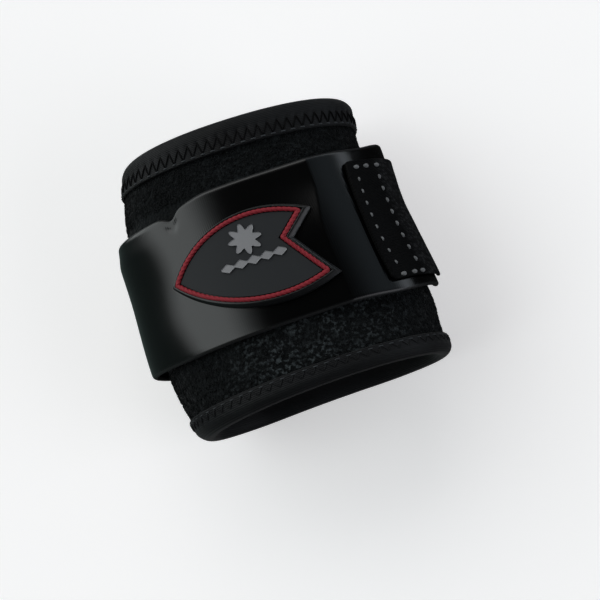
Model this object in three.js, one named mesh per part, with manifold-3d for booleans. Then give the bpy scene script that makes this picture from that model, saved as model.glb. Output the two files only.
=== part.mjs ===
// A wrist support: a bound sleeve of padded stretch fabric, and a wide strap that is sewn to its
// back, goes round the wrist and is held on the sleeve's pile by a hook patch under its end.
// It lies on its back. X runs across the wrist, Y along it to the hand and Z up out of the badge.
// Places on it are given as hoop, along and out: millimetres round the sleeve from the middle of
// its front, along it from the middle, and out of its face.

import * as THREE from 'three';
import { mergeVertices } from 'three/addons/utils/BufferGeometryUtils.js';
import Module from 'manifold-3d';

const wasm = await Module();
wasm.setup();

// Sleeve, in millimetres, measured over its outer face
const sleeveLength = 72.8;
const sleeveWidth = 70;
const sleeveDepth = 48;
const sleeveWall = 3.5;

// Outline of the sleeve from the forearm rim (along 0) to the hand rim (along 1). Left and right
// are shares of its width, and front and back of its depth. Slant and curve are shares of its
// length: how far its right side and both its sides lie along from its middle.
const sleeveSections = [
  { along: 0.0, left: 0.453, right: 0.507, front: 0.995, back: -0.0125, slant: 0.027, curve: -0.016 },
  { along: 0.115, left: 0.494, right: 0.499, front: 0.995, back: -0.006, slant: 0.014, curve: -0.009 },
  { along: 0.2, left: 0.513, right: 0.503, front: 0.988, back: 0.0, slant: 0.0, curve: 0.0 },
  { along: 0.5, left: 0.516, right: 0.461, front: 0.965, back: 0.0, slant: 0.0, curve: 0.0 },
  { along: 0.788, left: 0.514, right: 0.413, front: 0.94, back: 0.0, slant: 0.0, curve: 0.0 },
  { along: 1.0, left: 0.456, right: 0.415, front: 0.93, back: -0.0125, slant: 0.002, curve: 0.0 },
];
const frontRoundness = 2.15;
const backRoundness = 2.3;
const widestHeight = 0.47; // of the depth, from the back
const flatDepth = 2.2; // how far the back is pressed flat where it rests
const flatSoftness = 1.5;

// Bindings folded over both rims
const handBindingHeight = 7.8;
const armBindingHeight = 5.0;
const bindingThickness = 0.8;

// Strap
const strapWidth = 38;
const strapThickness = 1.8;
const strapLength = 153;
const strapEnd = 44; // hoop place of its free end, on the right
const strapMiddle = 0.8; // along, at the front
const strapClimb = 0.033; // along per hoop millimetre
const strapCorner = 2;
const sideBulge = 1.2; // how far it stands off the sleeve on the left
const sideBulgeSpread = 11;

// Hook patch under the strap's end, and the pull tab sewn on top of it
const hookThickness = 1.3;
const hookLength = 22;
const hookMargin = 1.5;
const strapRamp = 6; // hoop length in which the strap climbs on to the patch
const tabThickness = 1.1;
const tabLength = 20.5;
const tabWidth = 33;
const tabOverhang = 3;
const tabDrop = 1.2; // along, of its middle below the strap's
const tabCorner = 2.4;

// Badge: a leaf with a notched tail, with a raised cord inlaid along its edge
const badgeLength = 38.2;
const badgeHeight = 25.8;
const badgeHoop = -5.3;
const badgeAlong = -1.9; // from the strap's middle
const badgeThickness = 1.7;
const badgeTopRadius = 28;
const badgeBottomRadius = 32;
const cordInset = 1.7; // from the badge's edge to the cord's middle
const cordShift = [-0.45, 0.4]; // the rim is narrower at the tip and the top
const cordWidth = 1.2;
const cordRise = 0.35;
const grooveDepth = 0.7;
const rosetteRadius = 4.1;
const rosettePetals = 8;
const rosettePetalDepth = 0.2; // share of the radius
const lozengeCount = 5;
const lozengeLength = 3.2;
const lozengeHeight = 2.4;
const lozengeNeck = 0.5; // height where two of them join
const motifRise = 0.45;
const slabMargin = 2; // how far a slab reaches past the shape that is cut from it
const cutDepth = 12; // how far a cutting shape reaches in and out of the strap's curved face

// Gap between pieces that touch, and how finely curves are cut
const pieceGap = 0.25;
const sleeveSides = 56;
const hoopStep = 2.7;
const outlineSamples = 480;

const faceMaterial = (color, roughness) => new THREE.MeshStandardMaterial({ color, roughness, metalness: 0 });

const pileFabric = faceMaterial(0x101214, 0.95);
const bindingFabric = faceMaterial(0x14171a, 0.8);
const glossyElastic = faceMaterial(0x0b0d0e, 0.28);
const hookTape = faceMaterial(0x121314, 0.7);
const blackWebbing = faceMaterial(0x0d0e10, 0.6);
const badgeRubber = faceMaterial(0x22282b, 0.5);
const redRubber = faceMaterial(0xb02a35, 0.5);
const paleRubber = faceMaterial(0xb9b4b2, 0.5);

const columns = ['left', 'right', 'front', 'back', 'slant', 'curve'];

// The section table read between its rows, as a smooth curve
const sectionCurve = new THREE.CubicInterpolant(
  sleeveSections.map((row) => row.along),
  sleeveSections.flatMap((row) => columns.map((column) => row[column])),
  columns.length,
);

function sectionAt(along) {
  const share = THREE.MathUtils.clamp(along / sleeveLength + 0.5, 0, 1);
  const [left, right, front, back, slant, curve] = sectionCurve.evaluate(share);
  return {
    left: -left * sleeveWidth,
    right: right * sleeveWidth,
    front: front * sleeveDepth,
    back: back * sleeveDepth,
    slant: slant * sleeveLength,
    curve: curve * sleeveLength,
  };
}

function power(value, exponent) {
  return Math.sign(value) * Math.abs(value) ** exponent;
}

function softFloor(height, floor) {
  const blend = Math.max(flatSoftness - Math.abs(height - floor), 0) / flatSoftness;
  return Math.max(height, floor) + (blend * blend * flatSoftness) / 4;
}

// The sleeve's outer outline at one place along it: an oval whose back is pressed flat
function makeOutline(along) {
  const { left, right, front, back, slant, curve } = sectionAt(along);
  const middle = (left + right) / 2;
  const halfWidth = (right - left) / 2;
  const widest = back + widestHeight * (front - back);
  const points = [];
  for (let i = 0; i < outlineSamples; i += 1) {
    const angle = Math.PI / 2 - (2 * Math.PI * i) / outlineSamples;
    const upper = Math.sin(angle) >= 0;
    const exponent = 2 / (upper ? frontRoundness : backRoundness);
    const reach = upper ? front - widest : widest - back + flatDepth;
    const height = widest + reach * power(Math.sin(angle), exponent);
    points.push(new THREE.Vector2(
      middle + halfWidth * power(Math.cos(angle), exponent),
      softFloor(height, back),
    ));
  }
  const lengths = [0];
  for (let i = 0; i < outlineSamples; i += 1) {
    lengths.push(lengths[i] + points[i].distanceTo(points[(i + 1) % outlineSamples]));
  }
  return { points, lengths, slant, curve, girth: lengths[outlineSamples] };
}

const outlines = new Map();

function outlineAt(along) {
  const key = along.toFixed(3);
  if (!outlines.has(key)) outlines.set(key, makeOutline(along));
  return outlines.get(key);
}

const girth = outlineAt(0).girth;
const strapStart = strapEnd - strapLength;

function normalAt(points, index) {
  const count = points.length;
  const before = points[(index + count - 1) % count];
  const after = points[(index + 1) % count];
  return new THREE.Vector2(before.y - after.y, after.x - before.x).normalize();
}

// The point at a hoop place, a place along the sleeve and a distance out of its face
function onSleeve(hoop, along, out) {
  const outline = outlineAt(along);
  const share = THREE.MathUtils.euclideanModulo(hoop / girth, 1);
  const target = share * outline.girth;
  let low = 0;
  let high = outlineSamples;
  while (high - low > 1) {
    const half = (low + high) >> 1;
    if (outline.lengths[half] <= target) low = half;
    else high = half;
  }
  const step = (target - outline.lengths[low]) / (outline.lengths[low + 1] - outline.lengths[low]);
  const next = (low + 1) % outlineSamples;
  const place = outline.points[low].clone().lerp(outline.points[next], step);
  const normal = normalAt(outline.points, low).lerp(normalAt(outline.points, next), step).normalize();
  place.addScaledVector(normal, out);
  const side = place.x / (sleeveWidth / 2);
  return new THREE.Vector3(place.x, along + outline.slant * side + outline.curve * side ** 2, place.y);
}

// How far the strap's inner face lies out of the sleeve: up on the hook patch, and loose at the left
function strapLift(hoop) {
  const hookStart = strapEnd - hookLength;
  const climb = THREE.MathUtils.smoothstep(hoop, hookStart - strapRamp, hookStart - 2 * pieceGap);
  const bulge = Math.exp(-(((hoop + girth / 4) / sideBulgeSpread) ** 2));
  return pieceGap + climb * (hookThickness + pieceGap) + bulge * sideBulge;
}

function strapAlong(hoop) {
  return strapMiddle + strapClimb * hoop;
}

// The point on the strap's outer face, across it from its middle, and out of it
function onStrap(hoop, across, out) {
  return onSleeve(hoop, strapAlong(hoop) + across, strapLift(hoop) + strapThickness + out);
}

// The geometry with its shared vertices merged, and each then moved to its place
function bend(geometry, place) {
  const bare = geometry.clone();
  bare.deleteAttribute('normal');
  bare.deleteAttribute('uv');
  const bent = mergeVertices(bare, 1e-3);
  const positions = bent.attributes.position;
  const vertex = new THREE.Vector3();
  for (let i = 0; i < positions.count; i += 1) {
    vertex.fromBufferAttribute(positions, i);
    positions.setXYZ(i, ...place(vertex.x, vertex.y, vertex.z).toArray());
  }
  return bent;
}

function piece(name, geometry, material) {
  geometry.computeVertexNormals();
  const mesh = new THREE.Mesh(geometry, material);
  mesh.name = name;
  return mesh;
}

function toManifold(geometry) {
  return new wasm.Manifold(new wasm.Mesh({
    numProp: 3,
    vertProperties: new Float32Array(geometry.attributes.position.array),
    triVerts: new Uint32Array(geometry.index.array),
  }));
}

function fromManifold(manifold) {
  const { vertProperties, triVerts } = manifold.getMesh();
  const geometry = new THREE.BufferGeometry();
  geometry.setAttribute('position', new THREE.BufferAttribute(vertProperties, 3));
  geometry.setIndex(new THREE.BufferAttribute(triVerts, 1));
  return geometry;
}

// A closed tube round the wrist from a profile of [out, along] points, which runs anticlockwise
function hoopTube(profile) {
  const latheRadius = 100;
  const points = [...profile, profile[0]].map(([out, along]) => new THREE.Vector2(latheRadius + out, along));
  return bend(new THREE.LatheGeometry(points, sleeveSides), (x, y, z) => {
    const hoop = (Math.atan2(x, z) / (2 * Math.PI)) * girth;
    return onSleeve(hoop, y, Math.hypot(x, z) - latheRadius);
  });
}

// Points of a half circle round the end of a wall, from its outer face over to its inner one
function rimArc(radius, rimAlong, towards, steps) {
  const centre = -sleeveWall / 2;
  return Array.from({ length: steps + 1 }, (_, i) => {
    const angle = (Math.PI * i) / steps;
    return [centre + radius * Math.cos(angle), rimAlong + towards * radius * Math.sin(angle)];
  });
}

const rimOuterRadius = sleeveWall / 2 + pieceGap + bindingThickness;
const rimCentre = sleeveLength / 2 - rimOuterRadius;

function sleeveProfile() {
  const stations = [-0.8, -0.55, -0.27, 0, 0.27, 0.55, 0.8].map((share) => share * rimCentre);
  const outer = stations.map((along) => [0, along]);
  const inner = stations.map((along) => [-sleeveWall, along]).reverse();
  return [
    ...outer,
    ...rimArc(sleeveWall / 2, rimCentre, 1, 3),
    ...inner,
    ...rimArc(sleeveWall / 2, -rimCentre, -1, 3).reverse(),
  ];
}

function bindingProfile(height, towards) {
  const free = towards * (sleeveLength / 2 - height);
  const centre = towards * rimCentre;
  const outward = rimOuterRadius - sleeveWall / 2;
  const points = [
    [outward, free],
    ...rimArc(rimOuterRadius, centre, towards, 6),
    [-sleeveWall - outward, free],
    [-sleeveWall - pieceGap, free],
    ...rimArc(sleeveWall / 2 + pieceGap, centre, towards, 4).reverse(),
    [pieceGap, free],
  ];
  return towards > 0 ? points : points.reverse();
}

// A band's section as [across, out] points: rounded edges, and stations that let it follow the sleeve
function bandSection(width, thickness) {
  const half = width / 2;
  const edge = thickness * 0.3;
  const shape = new THREE.Shape();
  shape.moveTo(-half + edge, 0);
  shape.lineTo(0, 0);
  shape.lineTo(half - edge, 0);
  shape.lineTo(half, edge);
  shape.lineTo(half, thickness - edge);
  shape.lineTo(half - edge, thickness);
  shape.lineTo(0, thickness);
  shape.lineTo(-half + edge, thickness);
  shape.lineTo(-half, thickness - edge);
  shape.lineTo(-half, edge);
  shape.closePath();
  return shape;
}

// A band from one hoop place to another. place takes hoop, across and out, and a corner radius
// rounds the end at to.
function band(width, thickness, from, to, corner, place) {
  const length = to - from;
  const steps = Math.ceil(length / hoopStep);
  const straight = steps - 3;
  const geometry = new THREE.ExtrudeGeometry(bandSection(width, thickness), {
    depth: steps,
    steps,
    bevelEnabled: false,
  });
  return bend(geometry, (across, out, step) => {
    const inCorner = Math.max(step - straight, 0) / (steps - straight);
    const turn = (inCorner * Math.PI) / 2;
    const reach = Math.min(step / straight, 1) * (length - corner) + corner * Math.sin(turn);
    const narrowing = 1 - (corner * (1 - Math.cos(turn))) / (width / 2);
    return place(from + reach, across * narrowing, out);
  });
}

function makeStrap() {
  return band(strapWidth, strapThickness, strapStart, strapEnd, strapCorner, (hoop, across, out) => (
    onStrap(hoop, across, out - strapThickness)));
}

function makeHookPatch() {
  const width = strapWidth - 2 * hookMargin;
  const end = strapEnd - hookMargin;
  return band(width, hookThickness, strapEnd - hookLength, end, strapCorner, (hoop, across, out) => (
    onSleeve(hoop, strapAlong(hoop) + across, pieceGap + out)));
}

function makePullTab() {
  const end = strapEnd + tabOverhang;
  return band(tabWidth, tabThickness, end - tabLength, end, tabCorner, (hoop, across, out) => (
    onStrap(hoop, across - tabDrop, pieceGap + out)));
}

// An arc of the given radius between two points, bulging to the left of the way from one to other
function arcPoints(from, to, radius, steps) {
  const chord = to.clone().sub(from);
  const middle = from.clone().add(to).multiplyScalar(0.5);
  const side = new THREE.Vector2(-chord.y, chord.x).normalize();
  const drop = Math.sqrt(radius ** 2 - (chord.length() / 2) ** 2);
  const centre = middle.clone().addScaledVector(side, -drop);
  const start = Math.atan2(from.y - centre.y, from.x - centre.x);
  const sweep = 2 * Math.asin(chord.length() / 2 / radius);
  return Array.from({ length: steps + 1 }, (_, i) => {
    const angle = start - (sweep * i) / steps;
    return new THREE.Vector2(centre.x + radius * Math.cos(angle), centre.y + radius * Math.sin(angle));
  });
}

// The badge's corners and the middles of its motifs, as shares of half its length and height
const badgeTip = new THREE.Vector2(-1, -0.06);
const badgeUpperTail = new THREE.Vector2(0.98, 0.64);
const badgeNotch = new THREE.Vector2(0.64, 0.14);
const badgeLowerTail = new THREE.Vector2(1, -0.78);
const rosetteMiddle = new THREE.Vector2(0.06, 0.4);
const lozengeMiddle = new THREE.Vector2(0.075, -0.045);

function badgePoint(share) {
  return new THREE.Vector2((share.x * badgeLength) / 2, (share.y * badgeHeight) / 2);
}

// The badge's outline, clockwise from its tip, drawn inside its edge by an inset
function badgeOutline(inset) {
  const tip = badgePoint(badgeTip);
  const upper = badgePoint(badgeUpperTail);
  const lower = badgePoint(badgeLowerTail);
  const sharp = [
    ...arcPoints(tip, upper, badgeTopRadius, 12),
    badgePoint(badgeNotch),
    ...arcPoints(lower, tip, badgeBottomRadius, 12).slice(0, -1),
  ];
  return insetPolygon(sharp, inset);
}

// A clockwise polygon with each side moved in by an inset
function insetPolygon(points, inset) {
  return points.map((point, i) => {
    const before = points[(i + points.length - 1) % points.length];
    const after = points[(i + 1) % points.length];
    const inward = (from, to) => {
      const side = to.clone().sub(from).normalize();
      return new THREE.Vector2(side.y, -side.x);
    };
    const first = inward(before, point);
    const second = inward(point, after);
    const mitre = first.clone().add(second).multiplyScalar(1 / (1 + first.dot(second)));
    return point.clone().addScaledVector(mitre, inset);
  });
}

function onBadge(hoop, along, out) {
  return onStrap(badgeHoop + hoop, badgeAlong + along, out);
}

// The solid between two heights over the strap's face, inside a shape drawn flat on the badge
function laidOnStrap(shape, low, high) {
  const length = badgeLength + 2 * slabMargin;
  const height = badgeHeight + 2 * slabMargin;
  const slab = new THREE.BoxGeometry(length, height, high - low, Math.ceil(length / hoopStep), 3, 1);
  slab.translate(0, 0, (low + high) / 2);
  const prism = new THREE.ExtrudeGeometry(shape, { depth: 2 * cutDepth, bevelEnabled: false });
  prism.translate(0, 0, -cutDepth);
  return toManifold(bend(slab, onBadge)).intersect(toManifold(bend(prism, onBadge)));
}

// The strip that the cord fills, between two insets of the outline; its hole runs the other way
function cordLoop(margin) {
  const edge = (inset) => badgeOutline(inset).map((point) => point.add(new THREE.Vector2(...cordShift)));
  const loop = new THREE.Shape(edge(cordInset - cordWidth / 2 - margin));
  loop.holes.push(new THREE.Path(edge(cordInset + cordWidth / 2 + margin).reverse()));
  return loop;
}

function rosetteShape() {
  const middle = badgePoint(rosetteMiddle);
  const steps = rosettePetals * 8;
  return new THREE.Shape(Array.from({ length: steps }, (_, i) => {
    const angle = (2 * Math.PI * i) / steps;
    const radius = rosetteRadius * (1 - rosettePetalDepth * (1 - Math.cos(rosettePetals * angle)));
    return new THREE.Vector2(Math.cos(angle), Math.sin(angle)).multiplyScalar(radius).add(middle);
  }));
}

// A row of lozenges joined at their ends
function lozengeRow() {
  const middle = badgePoint(lozengeMiddle);
  const halfRow = (lozengeCount * lozengeLength) / 2;
  const upper = [];
  for (let i = 0; i < 2 * lozengeCount - 1; i += 1) {
    const rise = (i % 2 ? lozengeNeck : lozengeHeight) / 2;
    upper.push(new THREE.Vector2(((i + 1) * lozengeLength) / 2 - halfRow, rise));
  }
  const lower = upper.map((point) => new THREE.Vector2(point.x, -point.y)).reverse();
  const row = [new THREE.Vector2(-halfRow, 0), ...upper, new THREE.Vector2(halfRow, 0), ...lower];
  return new THREE.Shape(row.map((point) => point.add(middle)));
}

const badgeFace = pieceGap + badgeThickness;
const grooveFloor = badgeFace - grooveDepth;

function makeBadgeBase() {
  const plate = laidOnStrap(new THREE.Shape(badgeOutline(0)), pieceGap, badgeFace);
  return fromManifold(plate.subtract(laidOnStrap(cordLoop(pieceGap), grooveFloor, badgeFace + 1)));
}

function makeBadgeCord() {
  return fromManifold(laidOnStrap(cordLoop(0), grooveFloor + pieceGap, badgeFace + cordRise));
}

function makeMotif(shape) {
  const face = badgeFace + pieceGap;
  return fromManifold(laidOnStrap(shape, face, face + motifRise));
}

const support = new THREE.Group();
support.add(
  piece('sleeve', hoopTube(sleeveProfile()), pileFabric),
  piece('hand_binding', hoopTube(bindingProfile(handBindingHeight, 1)), bindingFabric),
  piece('arm_binding', hoopTube(bindingProfile(armBindingHeight, -1)), bindingFabric),
  piece('strap', makeStrap(), glossyElastic),
  piece('hook_patch', makeHookPatch(), hookTape),
  piece('pull_tab', makePullTab(), blackWebbing),
  piece('badge_base', makeBadgeBase(), badgeRubber),
  piece('badge_cord', makeBadgeCord(), redRubber),
  piece('badge_rosette', makeMotif(rosetteShape()), paleRubber),
  piece('badge_lozenges', makeMotif(lozengeRow()), paleRubber),
);

// The origin is under the middle of the piece, on the surface that it lies on
const bounds = new THREE.Box3().setFromObject(support);
const middle = bounds.getCenter(new THREE.Vector3());
support.position.set(-middle.x, -middle.y, -bounds.min.z);

export default support;
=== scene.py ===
import math

import bmesh
import bpy
import numpy as np
from mathutils import Matrix


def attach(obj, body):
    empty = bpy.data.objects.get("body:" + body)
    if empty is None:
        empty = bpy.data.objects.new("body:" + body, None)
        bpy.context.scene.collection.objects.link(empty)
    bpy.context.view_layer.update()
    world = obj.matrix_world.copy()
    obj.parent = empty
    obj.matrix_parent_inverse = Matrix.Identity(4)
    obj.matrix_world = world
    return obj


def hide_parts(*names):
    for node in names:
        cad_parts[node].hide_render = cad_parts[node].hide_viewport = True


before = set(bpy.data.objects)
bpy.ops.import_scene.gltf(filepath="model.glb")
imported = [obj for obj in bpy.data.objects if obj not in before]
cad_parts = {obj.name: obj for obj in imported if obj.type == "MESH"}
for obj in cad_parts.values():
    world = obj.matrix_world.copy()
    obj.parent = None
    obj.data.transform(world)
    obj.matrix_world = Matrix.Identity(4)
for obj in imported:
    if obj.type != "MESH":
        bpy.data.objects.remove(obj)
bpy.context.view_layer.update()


# Sleeve: an oval tube of stretch foam, faced with brushed loop pile outside and with smooth knit
# inside, and closed by a flat seam down its back. Everything else is wrapped over it, so its
# outer face gives the places of all the pieces, in millimetres round, along and out of it.
SLEEVE_LENGTH, SLEEVE_WIDTH, SLEEVE_DEPTH = 72.8, 70.0, 48.0
SLEEVE_WALL = 3.5
# along, left, right, front, back, slant, curve, as shares of the sleeve's length, width and depth
SLEEVE_SECTIONS = np.array([
    (0.000, 0.453, 0.507, 0.995, -0.0125, 0.027, -0.016),
    (0.115, 0.494, 0.499, 0.995, -0.006, 0.014, -0.009),
    (0.200, 0.513, 0.503, 0.988, 0.0, 0.0, 0.0),
    (0.500, 0.516, 0.461, 0.965, 0.0, 0.0, 0.0),
    (0.788, 0.514, 0.413, 0.94, 0.0, 0.0, 0.0),
    (1.000, 0.456, 0.415, 0.93, -0.0125, 0.002, 0.0),
])
FRONT_ROUNDNESS, BACK_ROUNDNESS = 2.15, 2.3
WIDEST_HEIGHT = 0.47
FLAT_DEPTH, FLAT_SOFTNESS = 2.2, 1.5
ROW_ORIGIN = np.array([0.0347, 1.2112, 2.0463])  # the middle of the sleeve's back, in the frame


def sleeve_section(along):
    """Left, right, front, back, slant and curve in mm, on a smooth line through the table's rows."""
    share = np.clip(along / SLEEVE_LENGTH + 0.5, 0, 1)
    at, values = SLEEVE_SECTIONS[:, 0], SLEEVE_SECTIONS[:, 1:]
    slope = np.diff(values, axis=0) / np.diff(at)[:, None]
    tangent = np.vstack([slope[:1], (slope[:-1] + slope[1:]) / 2, slope[-1:]])
    row = min(int(np.searchsorted(at, share, side="right")) - 1, len(at) - 2)
    span = at[row + 1] - at[row]
    p = (share - at[row]) / span
    line = (values[row] * (2 * p**3 - 3 * p**2 + 1) + tangent[row] * span * (p**3 - 2 * p**2 + p)
            + values[row + 1] * (3 * p**2 - 2 * p**3) + tangent[row + 1] * span * (p**3 - p**2))
    return line * [-SLEEVE_WIDTH, SLEEVE_WIDTH, SLEEVE_DEPTH, SLEEVE_DEPTH,
                   SLEEVE_LENGTH, SLEEVE_LENGTH]


def sleeve_outline(along, samples=720):
    """The outer outline from the middle of its front, the length to each point, slant and curve."""
    left, right, front, back, slant, curve = sleeve_section(along)
    angle = math.pi / 2 - 2 * math.pi * np.arange(samples + 1) / samples
    up, across = np.sin(angle), np.cos(angle)
    power = 2 / np.where(up >= 0, FRONT_ROUNDNESS, BACK_ROUNDNESS)
    widest = back + WIDEST_HEIGHT * (front - back)
    reach = np.where(up >= 0, front - widest, widest - back + FLAT_DEPTH)
    x = (left + right) / 2 + (right - left) / 2 * np.sign(across) * np.abs(across) ** power
    z = widest + reach * np.sign(up) * np.abs(up) ** power
    blend = np.maximum(FLAT_SOFTNESS - np.abs(z - back), 0) / FLAT_SOFTNESS
    z = np.maximum(z, back) + blend**2 * FLAT_SOFTNESS / 4
    length = np.concatenate([[0], np.cumsum(np.hypot(np.diff(x), np.diff(z)))])
    return x, z, length, slant, curve


GIRTH = sleeve_outline(0)[2][-1]
GRID_REACH, GRID_ROWS, GRID_COLUMNS = 40, 321, 1441  # the face is looked up in a grid, for speed
grid = []
for along in np.linspace(-GRID_REACH, GRID_REACH, GRID_ROWS):
    x, z, length, slant, curve = sleeve_outline(along)
    x, z = (np.interp(np.linspace(0, length[-1], GRID_COLUMNS), length, line) for line in (x, z))
    run_x, run_z = (np.gradient(np.concatenate([line[-2:-1], line, line[1:2]]))[1:-1]
                    for line in (x, z))
    grid.append(np.stack([x, z, -run_z, run_x, np.full_like(x, slant), np.full_like(x, curve)], 1))
grid = np.array(grid)


def on_sleeve(hoop, along, out):
    """Points in the frame, in metres, at places round, along and out of the sleeve's face in mm."""
    row = np.clip((along + GRID_REACH) * (GRID_ROWS - 1) / (2 * GRID_REACH), 0, GRID_ROWS - 1.001)
    column = (hoop / GIRTH % 1) * (GRID_COLUMNS - 1)
    r, c = row.astype(int), np.minimum(column.astype(int), GRID_COLUMNS - 2)
    fr, fc = (row - r)[:, None], (column - c)[:, None]
    x, z, normal_x, normal_z, slant, curve = (
        (grid[r, c] * (1 - fc) + grid[r, c + 1] * fc) * (1 - fr)
        + (grid[r + 1, c] * (1 - fc) + grid[r + 1, c + 1] * fc) * fr).T
    size = np.hypot(normal_x, normal_z)
    x, z = x + out * normal_x / size, z + out * normal_z / size
    side = x / (SLEEVE_WIDTH / 2)
    return (np.stack([x, along + slant * side + curve * side**2, z], 1) + ROW_ORIGIN) / 1000


def uneven(hoop, along, seed, pitch):
    """A smooth unevenness, about -1 to 1, that closes round the sleeve, with bumps of that pitch."""
    draw = np.random.default_rng(seed)
    total = np.zeros_like(hoop)
    for _ in range(8):
        tilt, phase = draw.uniform(0, math.pi), draw.uniform(0, 2 * math.pi)
        size = pitch * draw.uniform(0.7, 1.5)
        rounds = round(GIRTH * math.cos(tilt) / size)
        if tilt < math.pi / 2:
            rounds = max(1, rounds)
        waves = hoop * rounds / GIRTH + along * math.sin(tilt) / size
        total += np.sin(2 * math.pi * waves + phase)
    return total / 4


def bell(distance, width):
    """1 at no distance, falling off smoothly over that width."""
    return np.exp(-(distance / width) ** 2)


def step_up(value, start, end):
    """0 before start, 1 after end, and smooth between them."""
    share = np.clip((value - start) / (end - start), 0, 1)
    return share * share * (3 - 2 * share)


def turn(along, out, radius, start, stop, steps):
    """Points (along, out) on a part circle between two angles in degrees."""
    return [(along + radius * math.cos(math.radians(a)), out + radius * math.sin(math.radians(a)))
            for a in np.linspace(start, stop, steps)]


def sweep(profile, hoop_from, hoop_to, steps):
    """A closed profile of (along, out) points drawn out round the wrist, still flat, as a bmesh."""
    bm = bmesh.new()
    ring = [bm.verts.new((hoop_from, along, out)) for along, out in profile]
    edges = [bm.edges.new((ring[i - 1], ring[i])) for i in range(len(ring))]
    bmesh.ops.spin(bm, geom=ring + edges, axis=(1, 0, 0), angle=0, steps=steps, use_merge=False,
                   dvec=((hoop_to - hoop_from) / steps, 0, 0))
    return bm


def lay(bm, name, place):
    """Makes a flat bmesh a piece. Its flat place is kept as its UV map, 100 mm to 1."""
    mesh = bpy.data.meshes.new(name)
    bm.to_mesh(mesh)
    flat, corners = np.empty(3 * len(mesh.vertices)), np.empty(len(mesh.loops), int)
    mesh.vertices.foreach_get("co", flat)
    mesh.loops.foreach_get("vertex_index", corners)
    flat = flat.reshape(-1, 3)
    mesh.uv_layers.new(name="flat").data.foreach_set("uv", (flat[corners, :2] / 100).ravel())
    mesh.vertices.foreach_set("co", place(*flat.T).ravel())
    mesh.polygons.foreach_set("use_smooth", [True] * len(mesh.polygons))
    bm.clear()
    bm.from_mesh(mesh)
    bmesh.ops.remove_doubles(bm, verts=bm.verts, dist=2e-6)
    bmesh.ops.recalc_face_normals(bm, faces=bm.faces)
    bm.to_mesh(mesh)
    bm.free()
    made = bpy.data.objects.new(name, mesh)
    bpy.context.scene.collection.objects.link(made)
    return made


def belongs(made, material, slot, *nodes):
    """Gives a piece its material and its body, and says which solids it stands for. Its slot is not
    used.
    """
    made.data.materials.append(material)
    if nodes:
        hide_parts(*nodes)
    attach(made, "root")
    return made


def finish(name, color, roughness, **values):
    """A Principled material with its plain values, its node tree and its shader."""
    made = bpy.data.materials.new(name)
    made.use_nodes = True
    shader = made.node_tree.nodes["Principled BSDF"]
    shader.inputs["Base Color"].default_value = (*color, 1)
    shader.inputs["Roughness"].default_value = roughness
    for socket, value in values.items():
        shader.inputs[socket.replace("_", " ")].default_value = value
    return made, made.node_tree, shader


def node(tree, kind, inputs=None, **settings):
    """A shader node with its settings, and its inputs linked or set by name or number."""
    made = tree.nodes.new("ShaderNode" + kind)
    for key, value in settings.items():
        setattr(made, key, value)
    for key, value in (inputs or {}).items():
        if isinstance(value, bpy.types.NodeSocket):
            tree.links.new(value, made.inputs[key])
        else:
            made.inputs[key].default_value = value
    return made


def ramp(tree, value, *stops):
    """A grey that follows the value through (place, grey) stops."""
    made = node(tree, "ValToRGB", {"Fac": value})
    bar = made.color_ramp
    while len(bar.elements) < len(stops):
        bar.elements.new(0.5)
    for element, (place, grey) in zip(bar.elements, stops):
        element.position, element.color = place, (grey, grey, grey, 1)
    return made.outputs["Color"]


def maths(tree, operation, first, second):
    """Two values put together; MULTIPLY_ADD adds the second value once more."""
    return node(tree, "Math", {0: first, 1: second, 2: second}, operation=operation).outputs[0]


def mix(tree, share, first, second, blend="MIX"):
    """Two colours put together."""
    return node(tree, "Mix", {0: share, 6: first, 7: second},
                data_type="RGBA", blend_type=blend).outputs[2]


def bump(tree, shader, height, distance):
    """A relief of that many metres on a shader, from a height of 0 to 1."""
    made = node(tree, "Bump", {"Height": height, "Distance": distance, "Strength": 1.0})
    tree.links.new(made.outputs["Normal"], shader.inputs["Normal"])


def make_worn_cloth():
    """The tone of cloth in use: soft patches of lighter and darker colour, and flecks of lint."""
    tree = bpy.data.node_groups.new("worn cloth", "ShaderNodeTree")
    for label, kind, value in (("Color", "NodeSocketColor", (0.02, 0.02, 0.02, 1)),
                               ("Lint", "NodeSocketColor", (0.05, 0.05, 0.05, 1)),
                               ("Lint share", "NodeSocketFloat", 0.3),
                               ("Patch scale", "NodeSocketFloat", 140.0)):
        tree.interface.new_socket(label, in_out="INPUT", socket_type=kind).default_value = value
    tree.interface.new_socket("Color", in_out="OUTPUT", socket_type="NodeSocketColor")
    given, made = tree.nodes.new("NodeGroupInput").outputs, tree.nodes.new("NodeGroupOutput").inputs
    where = node(tree, "TexCoord").outputs["Object"]
    patches = node(tree, "TexNoise", {"Vector": where, "Scale": given["Patch scale"], "Detail": 4.0})
    lint = node(tree, "TexNoise", {"Vector": where, "Scale": 1500.0, "Detail": 2.0})
    flecked = ramp(tree, lint.outputs["Fac"], (0.54, 0), (0.72, 1))
    flecks = maths(tree, "MULTIPLY", flecked, given["Lint share"])
    tone = ramp(tree, patches.outputs["Fac"], (0.3, 0.65), (0.7, 1.3))
    cloth = mix(tree, flecks, mix(tree, 1.0, given["Color"], tone, "MULTIPLY"), given["Lint"])
    tree.links.new(cloth, made["Color"])
    return tree


worn_cloth = make_worn_cloth()
LINT_MIDDLE = 0.003  # metres right of the frame's middle


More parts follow.
